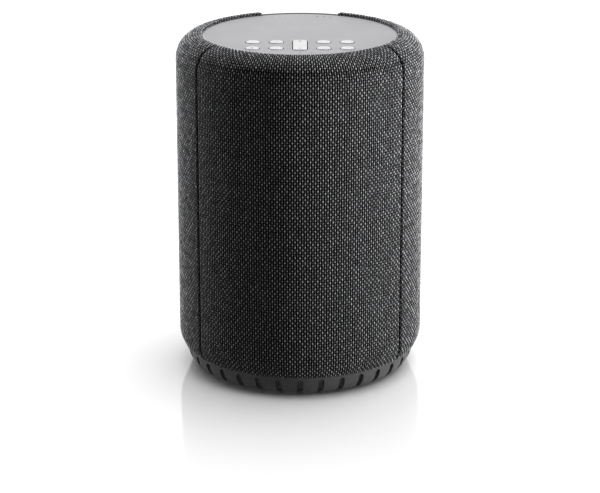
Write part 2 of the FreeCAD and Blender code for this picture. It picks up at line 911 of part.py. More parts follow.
def speaker_baffle():
    """The front plate of the speaker box, its seal and its screws."""
    made = slab(
        "speaker_baffle",
        rectangle(-box_half, box_low, box_half, box_high),
        baffle_back,
        baffle_wall,
        "XZ_Plane",
    )
    doc.recompute()
    tip = made.body.Tip
    corners = [
        f"Edge{i + 1}"
        for i, e in enumerate(tip.Shape.Edges)
        if e.Length > 140 and e.BoundBox.YMin < -box_front.value + 0.01
    ]
    edge = made.body.newObject("PartDesign::Fillet", "speaker_baffle_fillet")
    edge.Base = (tip, corners)
    edge.Radius = 3.0
    made.body.Tip = edge
    hole = made.sketch("XZ_Plane", baffle_back - 1)
    ring_outline(hole, 0, driver_z, driver_hole)
    for x, z in baffle_screw_places():
        ring_outline(hole, x, z, 1.5)
    for x, z in DRIVER_SCREWS:
        ring_outline(hole, x, driver_z + z, 1.12)
    made.pocket(hole, baffle_wall + 2, ahead=True)

    seal = slab(
        "baffle_seal",
        rectangle(-box_half, box_low, box_half, box_high),
        tub_front,
        seal_wall,
        "XZ_Plane",
    )
    inner = seal.sketch("XZ_Plane", tub_front - 1)
    low_x = -box_half + box_wall
    outline(inner, rectangle(low_x, box_low + box_wall, -low_x, box_high - box_wall))
    seal.pocket(inner, seal_wall + 2, ahead=True)
    seats = [(x, -box_front, z) for x, z in baffle_screw_places()]
    screws("baffle_screws", seats, FORWARD, 1.2, 11, 2.5, 1.4)


def roll(label, out_r, in_r, rise, wall):
    """A half-roll surround between two glued rims, as (radius, height) corners about its own axis."""
    rim = 1.4
    low = 1.1
    bend_out = (out_r - in_r) / 2 - rim + wall
    bend_in = bend_out - wall
    return turned(
        label,
        [
            (size(out_r), low),
            (size(out_r), low + wall),
            (size(out_r - rim + wall), low + wall, size(bend_out * rise)),
            (size(in_r + rim - wall), low + wall),
            (size(in_r), low + wall),
            (size(in_r), low),
            (size(in_r + rim), low, size(-bend_in * rise)),
            (size(out_r - rim), low),
        ],
    )


COIL_LOW = -29.0
PLATE_HIGH = -22.1
MAGNET_HIGH = -26.2
YOKE_HIGH = -36.3


def ring_of_four(radius):
    """Four places on a circle about the origin, midway between its axes."""
    turns = [math.radians(45 + 90 * number) for number in range(4)]
    return [(radius * math.cos(turn), radius * math.sin(turn)) for turn in turns]


DRIVER_SCREWS = ring_of_four(36.8)
RADIATOR_SCREWS = ring_of_four(30.72)


def driver():
    """The full-range driver. Its own axis is Z, with the baffle face at zero and the listener above."""
    parts = []
    frame = turned(
        "driver_frame",
        [
            (size(39), 0),
            (size(39), 2.5),
            (size(34.3), 2.5),
            (size(34.3), 1.0),
            (size(32.4), 1.0),
            (size(32.4), -1.0),
            (size(25.9), -16.95),
            (size(24.2), -16.95),
            (size(24.2), -20.4),
            (size(12), -20.4),
            (size(12), -22),
            (size(26), -22),
            (size(26), -20),
            (size(34.2), 0),
        ],
    )
    window = frame.sketch("XZ_Plane")
    outline(window, rectangle(-10, -17, 10, -4))
    cut = frame.pocket(window, 45, ahead=True)
    frame.around(cut, 4)
    bores = frame.sketch("XY_Plane", -1)
    for x, y in DRIVER_SCREWS:
        ring_outline(bores, x, y, 1.3)
    frame.pocket(bores, 5, ahead=True)
    parts.append(frame)
    parts.append(roll("driver_surround", 34.2, 26.6, 1.03, 0.5))
    parts.append(
        turned(
            "driver_cone",
            [(size(28), 0.3), (size(28), 1.0), (size(10.2), -9.1), (size(10.2), -9.8)],
        )
    )
    parts.append(
        turned(
            "driver_dust_cap",
            [
                (size(0), -4.5, size(-24.1)),
                (size(12), -7.7),
                (size(12), -7.2, size(24.1)),
                (size(0), -4.0),
            ],
        )
    )
    parts.append(
        turned(
            "voice_coil",
            [
                (size(9.7), -9.2),
                (size(9.7), COIL_LOW),
                (size(10.6), COIL_LOW),
                (size(10.6), -21),
                (size(10.1), -21),
                (size(10.1), -9.2),
            ],
        )
    )
    folds = 9
    top_edge = []
    for number in range(folds + 1):
        r = 10.25 + (25.6 - 10.25) * number / folds
        top_edge.append((size(r), -16.4 + 0.8 * (number % 2)))
    low_edge = [(r, z - 0.4) for r, z in reversed(top_edge)]
    parts.append(turned("driver_spider", top_edge + low_edge))
    parts.append(
        turned(
            "driver_top_plate",
            rectangle(size(11), MAGNET_HIGH + 0.1, size(25), PLATE_HIGH),
        )
    )
    parts.append(
        turned("driver_magnet", rectangle(size(13), YOKE_HIGH + 0.1, size(27), MAGNET_HIGH))
    )
    parts.append(
        turned(
            "driver_yoke",
            [
                (size(0), YOKE_HIGH - 4),
                (size(25), YOKE_HIGH - 4),
                (size(25), YOKE_HIGH),
                (size(9.3), YOKE_HIGH),
                (size(9.3), -22),
                (size(0), -22),
            ],
        )
    )
    for made in parts:
        made.at(y=-box_front, z=driver_z, axis=(1, 0, 0), angle=90)
    seats = [(x, -box_front - 2.5, driver_z + z) for x, z in DRIVER_SCREWS]
    screws("driver_screws", seats, FORWARD, 1.1, 6.5, 2.1, 1.4)


def passive_radiator(side, facing):
    """A passive radiator on one side of the box: frame, surround and weighted diaphragm."""
    frame = turned(
        f"{side}_radiator_frame",
        [
            (size(32), 0),
            (size(32), 2.5),
            (size(29.4), 2.5),
            (size(29.4), 1.0),
            (size(27.2), 1.0),
            (size(27.2), -2.0),
            (size(28.4), -2.0),
            (size(28.4), 0),
        ],
    )
    bores = frame.sketch("XY_Plane", -1)
    for x, y in RADIATOR_SCREWS:
        ring_outline(bores, x, y, 0.9)
    frame.pocket(bores, 5, ahead=True)
    surround = roll(f"{side}_radiator_surround", 29.3, 21.4, 1.03, 0.5)
    diaphragm = turned(
        f"{side}_radiator_diaphragm",
        [
            (size(0), -4),
            (size(9), -4),
            (size(9), 0),
            (size(22.8), 0),
            (size(22.8), 1.0),
            (size(0), 1.0),
        ],
    )
    axis, angle = facing
    sign = 1 if side == "right" else -1
    for made in (frame, surround, diaphragm):
        made.at(x=box_half * sign, y=-radiator_y, z=radiator_z, axis=axis, angle=angle)


def radiator_screws():
    made = []
    for sign, facing in ((-1, LEFTWARD), (1, RIGHTWARD)):
        for across, up in RADIATOR_SCREWS:
            x = (box_half + 2.5) * sign
            y = across - radiator_y
            z = radiator_z + up
            name = f"radiator_screw_{len(made)}"
            tip = x - 4.2 * sign
            stem = rod(f"{name}_shank", 0.8, 4.2, tip, y, z, *facing)
            cap = rod(f"{name}_head", 1.2, 1.0, x, y, z, *facing)
            made.append(joined(name, [stem, cap]))
    together("radiator_screws", made)


def electronics():
    """Rear boards and what they carry."""
    back = board_y + board_wall
    face = back + 0.1
    for label, low, high in (("power_board", 28.0, 78.0), ("main_board", 84.0, 166.0)):
        keep(block(label, (-board_half, board_half), (board_y, back), (low, high)), label)

    transformer = block("transformer", (-34, -14), (face, 55), (50, 70))
    reservoir = rod("reservoir", 6.0, 14, 26, face, 42, *REARWARD)
    filter_cap = rod("filter_cap", 4.5, 11, 26, face, 60, *REARWARD)
    choke = rod("choke", 5.0, 9, -26, face, 38, *REARWARD)
    switch = block("reset_switch", (5, 11), (face, 55.2), (57, 63))
    together("power_board_parts", [transformer, reservoir, filter_cap, choke, switch])

    processor = block("processor", (12, 26), (face, 41.4), (112, 126))
    shield = block("radio_shield", (-34, -10), (face, 42.4), (142, 160))
    coils = [
        block(f"output_coil_{n}", (14, 23), (face, 46), (88 + 11 * n, 97 + 11 * n)) for n in (0, 1)
    ]
    caps = [rod(f"bulk_cap_{n}", 3.5, 9, 32, face, 92 + 9 * n, *REARWARD) for n in range(3)]
    together("main_board_parts", [processor, shield] + coils + caps)

    sink = slab("heat_sink", rectangle(-30, 92, 6, 134), -54, size(54) - face, "XZ_Plane")
    slots = sink.sketch("XZ_Plane", -55)
    outline(slots, rectangle(-27, 91, -24, 135))
    fins = sink.pocket(slots, 11, ahead=True)
    sink.along(fins, "X_Axis", 6, 27)
    keep(block("wireless_antenna", (14, 36), (face, 41.2), (150, 160)), "wireless_antenna")


def connectors():
    """Mains inlet, audio socket and reset button in the rear recess."""
    front = recess_y + 1.4
    inlet = Body("mains_inlet")
    shell = inlet.sketch("XZ_Plane", -front)
    outline(shell, rounded_rectangle(size(12.6), size(9.0), size(2.0), inlet_z))
    inlet.pad(shell, 1.3)
    barrel = inlet.sketch("XZ_Plane", -front + 1)
    outline(barrel, rounded_rectangle(size(10.5), size(7.0), size(1.5), inlet_z))
    inlet.pad(barrel, 16)
    cavity = inlet.sketch("XZ_Plane", -front - 1)
    lobe = 4.3
    bend = 4.35
    outline(
        cavity,
        [
            (size(-lobe), inlet_z - bend + 0.02),
            (size(lobe), inlet_z - bend + 0.02, size(bend)),
            (size(lobe), inlet_z + bend - 0.02),
            (size(-lobe), inlet_z + bend - 0.02, size(bend)),
        ],
    )
    inlet.pocket(cavity, 12, ahead=True)
    pin_low = front - 13.5
    pins = [rod(f"inlet_pin_{n}", 1.15, 12, n * lobe, pin_low, inlet_z, *REARWARD) for n in (-1, 1)]
    holes = inlet.sketch("XZ_Plane", -front)
    for n in (-1, 1):
        ring_outline(holes, n * lobe, inlet_z, 1.17)
    inlet.pocket(holes, 13.6, ahead=True)
    together("inlet_pins", pins)

    socket = Body("audio_socket")
    case_low = recess_y - 2.6 - 14
    case = socket.sketch("XZ_Plane", -case_low)
    outline(case, rectangle(-socket_x - 4.5, socket_z - 5, -socket_x + 4.5, socket_z + 5))
    socket.pad(case, 14, back=True)
    collar = socket.sketch("XZ_Plane", -case_low - 13)
    ring_outline(collar, -socket_x, socket_z, 3.0)
    socket.pad(collar, 4.6, back=True)
    bore = socket.sketch("XZ_Plane", -case_low - 18)
    ring_outline(bore, -socket_x, socket_z, socket_bore)
    socket.pocket(bore, 14.0, ahead=True)

    cap = turned(
        "reset_button",
        [
            (size(0), -7),
            (size(1.4), -7),
            (size(1.4), -4.6),
            (size(3.4), -4.6),
            (size(3.4), -3.4),
            (size(2.4), -3.4),
            (size(2.4), 0.2),
            (size(2.1), 0.5),
            (size(0), 0.5),
        ],
    )
    cap.at(x=socket_x, y=recess_y, z=socket_z, axis=(1, 0, 0), angle=-90)


def rounded_path(points):
    """Straight runs joined by tangent arcs, as large as the shorter run beside each point allows."""
    points = [FreeCAD.Vector(*p) for p in points]
    edges = []
    radii = []
    start = points[0]
    for before, at, after in zip(points, points[1:], points[2:]):
        way_in = (before - at).normalize()
        way_out = (after - at).normalize()
        turn = math.pi - way_in.getAngle(way_out)
        reach = 0.45 * min((before - at).Length, (after - at).Length)
        radii.append(reach / math.tan(turn / 2))
        first = at + way_in * reach
        last = at + way_out * reach
        middle_way = (way_in + way_out).normalize()
        centre = at + middle_way * (radii[-1] / math.cos(turn / 2))
        top = centre - middle_way * radii[-1]
        edges.append(Part.LineSegment(start, first).toShape())
        edges.append(Part.Arc(first, top, last).toShape())
        start = last
    edges.append(Part.LineSegment(start, points[-1]).toShape())
    print("bend radii", [round(r, 1) for r in radii])
    return Part.Wire(edges)


def cables():
    """The driver's lead through the back of the box, and the ribbon from the keypad to the main board."""
    route = [
        (CABLE_X, 36.5, 86.0),
        (CABLE_X, 34.8, 76.0),
        (CABLE_X, 34.4, 66.0),
        (CABLE_X, 28.0, CABLE_Z),
        (CABLE_X, 16.0, CABLE_Z),
        (CABLE_X - 2, 2.0, 63.0),
        (CABLE_X - 4, -14.0, 69.0),
        (CABLE_X - 6, -29.0, 77.5),
    ]
    wire = rounded_path(route)
    lead_r = 1.2
    start = FreeCAD.Vector(*route[0])
    ahead = FreeCAD.Vector(*route[1]) - start
    ring = Part.Wire(Part.makeCircle(lead_r, start, ahead))
    lead = doc.addObject("Part::Feature", "speaker_lead")
    lead.Shape = wire.makePipeShell([ring], True, True)
    print("lead volume ratio", lead.Shape.Volume / (math.pi * lead_r**2 * wire.Length))
    keep(lead, "speaker_lead")

    drop_y = 23.5
    run_z = 170.0
    end_y = 45.0
    end_z = 137.0
    wall = 0.5
    top_z = BOARD_TOP - board_wall.value - 0.1
    face = board_y.value + board_wall.value + 0.1
    strip = [
        (drop_y, top_z),
        (drop_y, run_z),
        (end_y, run_z),
        (end_y, end_z),
        (face, end_z),
        (face, end_z + wall),
        (end_y - wall, end_z + wall),
        (end_y - wall, run_z - wall),
        (drop_y - wall, run_z - wall),
        (drop_y - wall, top_z),
    ]
    # The strip is drawn in the YZ plane and padded across X.
    slab("ribbon_cable", [(size(y), size(z)) for y, z in reversed(strip)], -5, 10, "YZ_Plane")


def wadding():
    """The absorbent block in the bottom of the speaker box."""
    x = box_half - box_wall - 6.5
    y = (-tub_front + 4, box_back - box_wall - 2)
    z = (box_low + box_wall + 0.2, 52)
    keep(block("acoustic_wadding", (-x, x), y, z), "acoustic_wadding")


def build():
    for side in PANELS:
        cloth(side)
        grille_shell(side)
    rear_spine()
    foot_ring()
    lower_chassis()
    bottom_cover()
    top_deck()
    top_plate()
    button_caps()
    volume_rocker()
    keypad_inside()
    speaker_tub()
    speaker_baffle()
    driver()
    passive_radiator("left", LEFTWARD)
    passive_radiator("right", RIGHTWARD)
    radiator_screws()
    electronics()
    connectors()
    cables()
    wadding()
    doc.recompute()


def check_and_write():
    faults = [o.Name for o in doc.Objects if {"Invalid", "Error"} & set(o.State)]
    for piece in pieces:
        shape = piece.Shape
        if shape.isNull() or not shape.isValid() or not shape.Solids:
            faults.append(f"{piece.Label}: bad shape")
    if faults:
        raise SystemExit(f"failed objects: {faults}")
    os.makedirs("parts", exist_ok=True)
    for piece in pieces:
        piece.Shape.exportStep(f"parts/{piece.Label}.step")
    print(len(pieces), "sub-parts written")


build()
check_and_write()
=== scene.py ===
"""Looks for the cylindrical smart speaker, in metres, +Z up, front towards -Y.

Woven cloth, keypad membrane, wadding, key icons, materials, floor, lights and camera. Constants
that give a size or a place on the object are in millimetres, and MM turns them into metres.
"""

import json
import math

import bmesh
import bpy
import numpy as np
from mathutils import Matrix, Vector

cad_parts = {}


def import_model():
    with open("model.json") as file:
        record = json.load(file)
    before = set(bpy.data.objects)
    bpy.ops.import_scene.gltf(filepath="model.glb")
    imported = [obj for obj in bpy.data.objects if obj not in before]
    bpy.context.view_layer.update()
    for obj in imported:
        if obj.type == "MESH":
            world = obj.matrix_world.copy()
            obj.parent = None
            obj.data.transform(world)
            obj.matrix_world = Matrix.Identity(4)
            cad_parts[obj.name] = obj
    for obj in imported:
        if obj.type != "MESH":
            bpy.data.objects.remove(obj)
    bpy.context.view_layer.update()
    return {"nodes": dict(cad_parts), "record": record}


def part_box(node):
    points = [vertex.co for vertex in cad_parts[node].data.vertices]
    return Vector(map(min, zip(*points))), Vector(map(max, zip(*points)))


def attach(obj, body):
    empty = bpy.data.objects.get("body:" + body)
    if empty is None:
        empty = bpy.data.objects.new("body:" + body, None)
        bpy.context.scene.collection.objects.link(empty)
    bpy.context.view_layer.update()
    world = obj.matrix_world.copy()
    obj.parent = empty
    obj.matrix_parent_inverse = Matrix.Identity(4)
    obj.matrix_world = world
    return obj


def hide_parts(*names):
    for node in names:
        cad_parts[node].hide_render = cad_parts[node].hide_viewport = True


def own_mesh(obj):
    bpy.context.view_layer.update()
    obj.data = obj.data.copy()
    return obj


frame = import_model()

MM = 0.001
PLATE_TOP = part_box("top_plate")[1][2] / MM

# ---------------------------------------------------------------- camera

IMAGE_WIDTH = 600
SENSOR_MM = 36.0
FOCAL_PX = 2176.0
CAMERA_PLACE = (0.0, -1.184, 0.457)
CAMERA_DOWN = 16.95
AIM_ABOVE_CENTRE_PX = 48.5


def make_camera():
    data = bpy.data.cameras.new("camera")
    data.sensor_width = SENSOR_MM
    data.lens = FOCAL_PX / IMAGE_WIDTH * SENSOR_MM
    data.shift_y = -AIM_ABOVE_CENTRE_PX / IMAGE_WIDTH
    camera = bpy.data.objects.new("camera", data)
    camera.location = CAMERA_PLACE
    camera.rotation_euler = (math.radians(90 - CAMERA_DOWN), 0, 0)
    bpy.context.scene.collection.objects.link(camera)
    bpy.context.scene.camera = camera


# ---------------------------------------------------------------- shader nodes


class Shader:
    """One material and short calls that add its nodes."""

    def __init__(self, name, **constants):
        self.material = bpy.data.materials.new(name)
        self.material.use_nodes = True
        self.tree = self.material.node_tree
        self.surface = self.tree.nodes["Principled BSDF"]
        for socket, value in constants.items():
            self.surface.inputs[socket.replace("_", " ")].default_value = value

    def feed(self, socket, value):
        """Gives a socket a number, or a link where the value is another node's output."""
        if isinstance(value, bpy.types.NodeSocket):
            self.tree.links.new(value, socket)
        else:
            socket.default_value = value

    def node(self, kind, inputs=(), **settings):
        made = self.tree.nodes.new(f"ShaderNode{kind}")
        for name, value in settings.items():
            setattr(made, name, value)
        for key, value in dict(inputs).items():
            self.feed(made.inputs[key], value)
        return made

    def math(self, operation, *values):
        made = self.node("Math", operation=operation)
        for socket, value in zip(made.inputs, values):
            self.feed(socket, value)
        return made.outputs[0]

    def blend(self, factor, low, high):
        """low where factor is 0, high where it is 1."""
        made = self.node("Mix", {"Factor": factor, 2: low, 3: high}, data_type="FLOAT")
        return made.outputs[0]

    def colours(self, factor, low, high):
        made = self.node("Mix", {"Factor": factor}, data_type="RGBA")
        for socket, value in zip((made.inputs[6], made.inputs[7]), (low, high)):
            self.feed(socket, value if isinstance(value, bpy.types.NodeSocket) else (*value, 1))
        return made.outputs[2]

    def span(self, value, low, high, out_low=0.0, out_high=1.0):
        """Smooth step from out_low to out_high as value goes from low to high."""
        inputs = {"Value": value, "From Min": low, "From Max": high}
        inputs |= {"To Min": out_low, "To Max": out_high}
        return self.node("MapRange", inputs, interpolation_type="SMOOTHSTEP").outputs[0]

    def place(self):
        """Position on the object, in metres."""
        return self.node("TexCoord").outputs["Object"]

    def split(self, vector):
        return self.node("SeparateXYZ", {0: vector}).outputs

    def vector(self, x, y, z=0.0):
        return self.node("CombineXYZ", {0: x, 1: y, 2: z}).outputs[0]

    def stretched(self, vector, scale):
        return self.node("Mapping", {"Vector": vector, "Scale": scale}).outputs[0]

    def noise(self, vector, scale, detail=2.0, roughness=0.5):
        inputs = {"Vector": vector, "Scale": scale, "Detail": detail, "Roughness": roughness}
        return self.node("TexNoise", inputs).outputs["Fac"]

    def chance(self, vector):
        """A separate random number from 0 to 1 for each value of the vector."""
        return self.node("TexWhiteNoise", {"Vector": vector}, noise_dimensions="3D").outputs["Value"]

    def bump(self, height, depth_mm, strength=1.0):
        inputs = {"Height": height, "Distance": depth_mm * MM, "Strength": strength}
        made = self.node("Bump", inputs)
        self.feed(self.surface.inputs["Normal"], made.outputs[0])

    def colour(self, value):
        self.feed(self.surface.inputs["Base Color"], value)

    def roughness(self, value):
        self.feed(self.surface.inputs["Roughness"], value)


def scaled(colour, factor):
    return tuple(min(c * factor, 1.0) for c in colour)


# Near-black painted shade for the gaps around the keys, and the height in mm it fades over.
PAINTED_GAP_SHADE = (0.006, 0.006, 0.007)
GAP_SHADE_FADE = 0.05


def moulded(
    name, colour, rough=0.45, grain_mm=0.35, grain_depth_mm=0.02, gap_shade_below=None, **constants
):
    """Moulded plastic or rubber: fine spark texture, faint cloudiness and uneven gloss.

    Given a height in mm for the gap shade, painted shade turns the colour near-black below it,
    where the gaps around the keys and the key holes are in shade.
    """
    shader = Shader(name, **constants)
    place = shader.place()
    grain = shader.noise(place, 1 / (grain_mm * MM), 3.0, 0.6)
    cloud = shader.noise(place, 60.0, 2.0)
    tone = shader.colours(cloud, scaled(colour, 0.9), scaled(colour, 1.1))
    # Painted shade: below the given height the colour fades to near-black, as shade in the gaps.
    if gap_shade_below is not None:
        height = shader.split(place)[2]
        full_shade = (gap_shade_below - GAP_SHADE_FADE) * MM
        no_shade = (gap_shade_below + GAP_SHADE_FADE) * MM
        above_gap_shade = shader.span(height, full_shade, no_shade)
        tone = shader.colours(above_gap_shade, PAINTED_GAP_SHADE, tone)
    shader.colour(tone)
    shader.roughness(shader.span(grain, 0.3, 0.7, rough - 0.07, rough + 0.07))
    shader.bump(grain, grain_depth_mm)
    return shader.material


def metal(name, colour, rough=0.3, brush=(1.0, 1.0, 30.0)):
    """Metal with fine machining marks across one axis and uneven gloss."""
    shader = Shader(name, Metallic=1.0)
    marks = shader.noise(shader.stretched(shader.place(), brush), 600.0, 3.0, 0.65)
    stain = shader.noise(shader.place(), 90.0, 3.0)
    shader.colour(shader.colours(stain, scaled(colour, 0.82), scaled(colour, 1.08)))
    shader.roughness(shader.span(marks, 0.25, 0.75, rough - 0.08, rough + 0.12))
    shader.bump(marks, 0.01)
    return shader.material


def circuit_board(name, colour):
    """Solder mask over copper: lighter tracks on a fine grid."""
    shader = Shader(name, Coat_Weight=0.3, Coat_Roughness=0.15)
    place = shader.place()
    blocks = shader.node("TexBrick", {"Vector": place, "Scale": 90.0})
    tracks = shader.span(blocks.outputs["Fac"], 0.2, 0.8)
    speckle = shader.noise(place, 900.0, 2.0)
    mask = shader.colours(speckle, scaled(colour, 0.8), scaled(colour, 1.2))
    shader.colour(shader.colours(tracks, mask, scaled(colour, 2.2)))
    shader.roughness(shader.span(speckle, 0.2, 0.8, 0.3, 0.45))
    shader.bump(tracks, 0.03)
    return shader.material


def fibres(name, colour, scale=500.0, depth_mm=0.15):
    """Felted or pressed fibres, as in wadding, paper cones and impregnated cloth."""
    shader = Shader(name, Sheen_Weight=0.2, Specular_IOR_Level=0.2)
    place = shader.place()
    hairs = shader.noise(place, scale, 5.0, 0.7)
    clump = shader.noise(place, scale / 9, 3.0)
    shader.colour(shader.colours(clump, scaled(colour, 0.75), scaled(colour, 1.15)))
    shader.roughness(shader.span(hairs, 0.2, 0.8, 0.75, 0.95))
    shader.bump(hairs, depth_mm)
    return shader.material


LIT_TO_REAR = 8.0
LIT_TO_FRONT = -3.0


def lit_lenses(name):
    """The indicator lenses: the first seven of the rear arc and the left front one are bright."""
    shader = Shader(name, Roughness=0.25)
    x, y, _ = shader.split(shader.place())
    rear = shader.math("GREATER_THAN", y, 0.0)
    lit_at_front = shader.math("LESS_THAN", x, LIT_TO_FRONT * MM)
    lit_at_rear = shader.math("LESS_THAN", x, LIT_TO_REAR * MM)
    lit = shader.blend(rear, lit_at_front, lit_at_rear)
    cloud = shader.noise(shader.place(), 4000.0)
    dark = shader.colours(cloud, (0.020, 0.020, 0.022), (0.04, 0.04, 0.045))
    shader.colour(shader.colours(lit, dark, (0.95, 0.96, 1.0)))
    return shader.material


# ---------------------------------------------------------------- cloth

WARP_PITCH = 1.39
WEFT_PITCH = 1.50
SKIN = 0.35
SHOULDER = 13.9
BASE_CURVE = 17.0
BASE_CURVE_Z = 22.0
HEM = ((64.3, 12.95), (64.9, 12.6), (65.3, 12.4))
HEM_BOTTOM = 12.35
LIP_REACH = 1.8
LIP_CENTRE = 55.75
LIP_FOOT_RISE = 0.25
EDGE_ROLL = 0.8
EDGE_DEPTH = 3.2
EDGE_TAPER = 1.1
WEAVE_DEPTH = 0.62
WEFT_SHADE = 0.22
CLOTH_GAP = (0.0015, 0.0015, 0.0017)
CLOTH_PALE = (0.93, 0.94, 0.97)
CREASED_PANEL = "front"
CREASE_BELOW_TOP = 8.2
CREASE_DEPTH = 0.4
CREASE_WIDTH = 1.1
# Share of painted shade along the crease.
CREASE_SHADE = 0.5
FRONT_SPAN = 108.3
SPINE_SPAN = 46.0
SEAM_SPAN = 1.0
SIDE_SPAN = (360 - FRONT_SPAN - SPINE_SPAN) / 2
SIDE_TURN = (FRONT_SPAN + SIDE_SPAN) / 2
PANELS = {
    "front": (FRONT_SPAN, -90.0),
    "right": (SIDE_SPAN, -90.0 + SIDE_TURN),
    "left": (SIDE_SPAN, -90.0 - SIDE_TURN),
}


def cloth_material():
    """Plain weave: pale warp floats in a checker order, over darker weft and near-black gaps.

    The UV map weave counts yarns, so whole numbers are the middles of the yarns. A float
    attribute holds painted shade: it darkens the cloth fully where the cloth turns into a seam,
    and partly along the crease.
    """
    shader = Shader("cloth", Sheen_Weight=0.05, Sheen_Roughness=0.45, Specular_IOR_Level=0.08)
    flat = shader.node("UVMap", uv_map="weave").outputs[0]
    straight_across, straight_along, _ = shader.split(flat)
    sway = shader.noise(flat, 0.42, 1.0)
    across = shader.math("ADD", straight_across, shader.span(sway, 0.2, 0.8, -0.10, 0.10))
    waver = shader.noise(shader.stretched(flat, (0.6, 1.3, 1.0)), 0.5, 1.0)
    along = shader.math("ADD", straight_along, shader.span(waver, 0.2, 0.8, -0.12, 0.12))
    warp = shader.math("ROUND", across)
    weft = shader.math("ROUND", along)
    from_warp = shader.math("SUBTRACT", across, warp)
    parity = shader.math("FLOORED_MODULO", warp, 2.0)
    repeats = shader.math("MULTIPLY", shader.math("SUBTRACT", along, parity), 0.5)
    own_float = shader.math("ROUND", repeats)
    from_float = shader.math("MULTIPLY", shader.math("SUBTRACT", repeats, own_float), 2.0)
    from_crossing = shader.math("SUBTRACT", 1.0, shader.math("ABSOLUTE", from_float))

    def oval(off_x, half_x, off_y, half_y):
        """1 in the middle of an oval float, fading to 0 at its edge."""
        wide = shader.math("POWER", shader.math("DIVIDE", off_x, half_x), 2.0)
        tall = shader.math("POWER", shader.math("DIVIDE", off_y, half_y), 2.0)
        near = shader.math("SUBTRACT", 1.0, shader.math("ADD", wide, tall))
        return shader.math("POWER", shader.math("MAXIMUM", near, 0.0), 1.4)

    def tone(own, x, y, seed):
        """Shade of one yarn: its own, with slow changes along it."""
        slub = shader.span(shader.noise(shader.vector(x, y, seed), 1.0, 2.0), 0.3, 0.7, 0.8, 1.1)
        shade = shader.span(shader.chance(shader.vector(own, seed, seed)), 0.0, 1.0, 0.85, 1.1)
        return shader.math("MULTIPLY", slub, shade)

    warp_float = oval(from_warp, 0.30, from_float, 0.58)
    weft_float = oval(from_warp, 0.34, from_crossing, 0.45)
    slow_along = shader.math("MULTIPLY", along, 0.16)
    slow_across = shader.math("MULTIPLY", across, 0.12)
    warp_tone = tone(warp, shader.math("MULTIPLY", warp, 3.7), slow_along, 3.0)
    weft_tone = tone(weft, slow_across, shader.math("MULTIPLY", weft, 3.1), 8.0)
    spark = shader.span(shader.chance(shader.vector(warp, own_float, 1.0)), 0.0, 1.0, 0.68, 1.35)
    hairs = shader.noise(shader.vector(across, along), 4.0, 4.0, 0.7)
    strands = shader.span(hairs, 0.3, 0.7, 0.35, 1.6)
    pale = shader.math("MULTIPLY", shader.math("MULTIPLY", warp_float, warp_tone), spark)
    dim = shader.math("MULTIPLY", shader.math("MULTIPLY", weft_float, weft_tone), WEFT_SHADE)
    # Painted shade: the cloth goes dark inside the seams and partly along the crease.
    painted_shade = shader.node("Attribute", attribute_name="painted_shade").outputs["Fac"]
    unshaded_face = shader.math("SUBTRACT", 1.0, painted_shade)
    bright = shader.math("MULTIPLY", shader.math("MAXIMUM", pale, dim), strands)
    bright = shader.math("MULTIPLY", bright, unshaded_face)
    shader.colour(shader.colours(bright, CLOTH_GAP, CLOTH_PALE))
    shader.roughness(shader.span(hairs, 0.2, 0.8, 0.78, 0.95))
    raised = shader.math("MAXIMUM", warp_float, shader.math("MULTIPLY", weft_float, 0.5))
    shader.bump(shader.math("ADD", raised, shader.math("MULTIPLY", hairs, 0.25)), 0.15)
    return shader.material


def arc(centre_r, centre_z, radius, start, stop, count=24, tall=None):
    """Points along an arc, which is part of an ellipse where its half height is given as tall."""
    angles = np.radians(np.linspace(start, stop, count))
    half_height = tall or radius
    places_r = centre_r + radius * np.cos(angles)
    places_z = centre_z + half_height * np.sin(angles)
    return np.column_stack((places_r, places_z))


def cloth_profile(outside, top, plate):
    """Middle of the cloth from the hem turned under the shell to the lip beside the top plate."""
    base_radius = BASE_CURVE - SKIN
    base_start = -math.degrees(math.asin((BASE_CURVE_Z - HEM_BOTTOM) / base_radius))
    base = arc(outside - BASE_CURVE, BASE_CURVE_Z, base_radius, base_start, 0)
    shoulder = arc(outside - SHOULDER, top - SHOULDER, SHOULDER - SKIN, 0, 90)
    foot_z = plate + LIP_FOOT_RISE
    lip = arc(LIP_CENTRE, foot_z, LIP_REACH, 90, 180, 12, top - SKIN - foot_z)
    return np.vstack((HEM, base, shoulder, lip))


def yarn_steps(count, each):
    """Places in yarn counts, a few per yarn, with two more steps close to each end."""
    places = np.linspace(0, count, count * each + 1)
    return np.sort(np.append(places, [0.12, 0.27, count - 0.12, count - 0.27]))


def weave_height(across, along):
    """Height of a plain weave from 0 in the gaps to 1 on top of a warp yarn."""
    over = np.cos(np.pi * across) * np.cos(np.pi * along)
    warp = np.abs(np.cos(np.pi * across)) * (0.56 + 0.44 * over)
    weft = np.abs(np.cos(np.pi * along)) * (0.46 - 0.34 * over)
    return np.maximum(warp, weft)


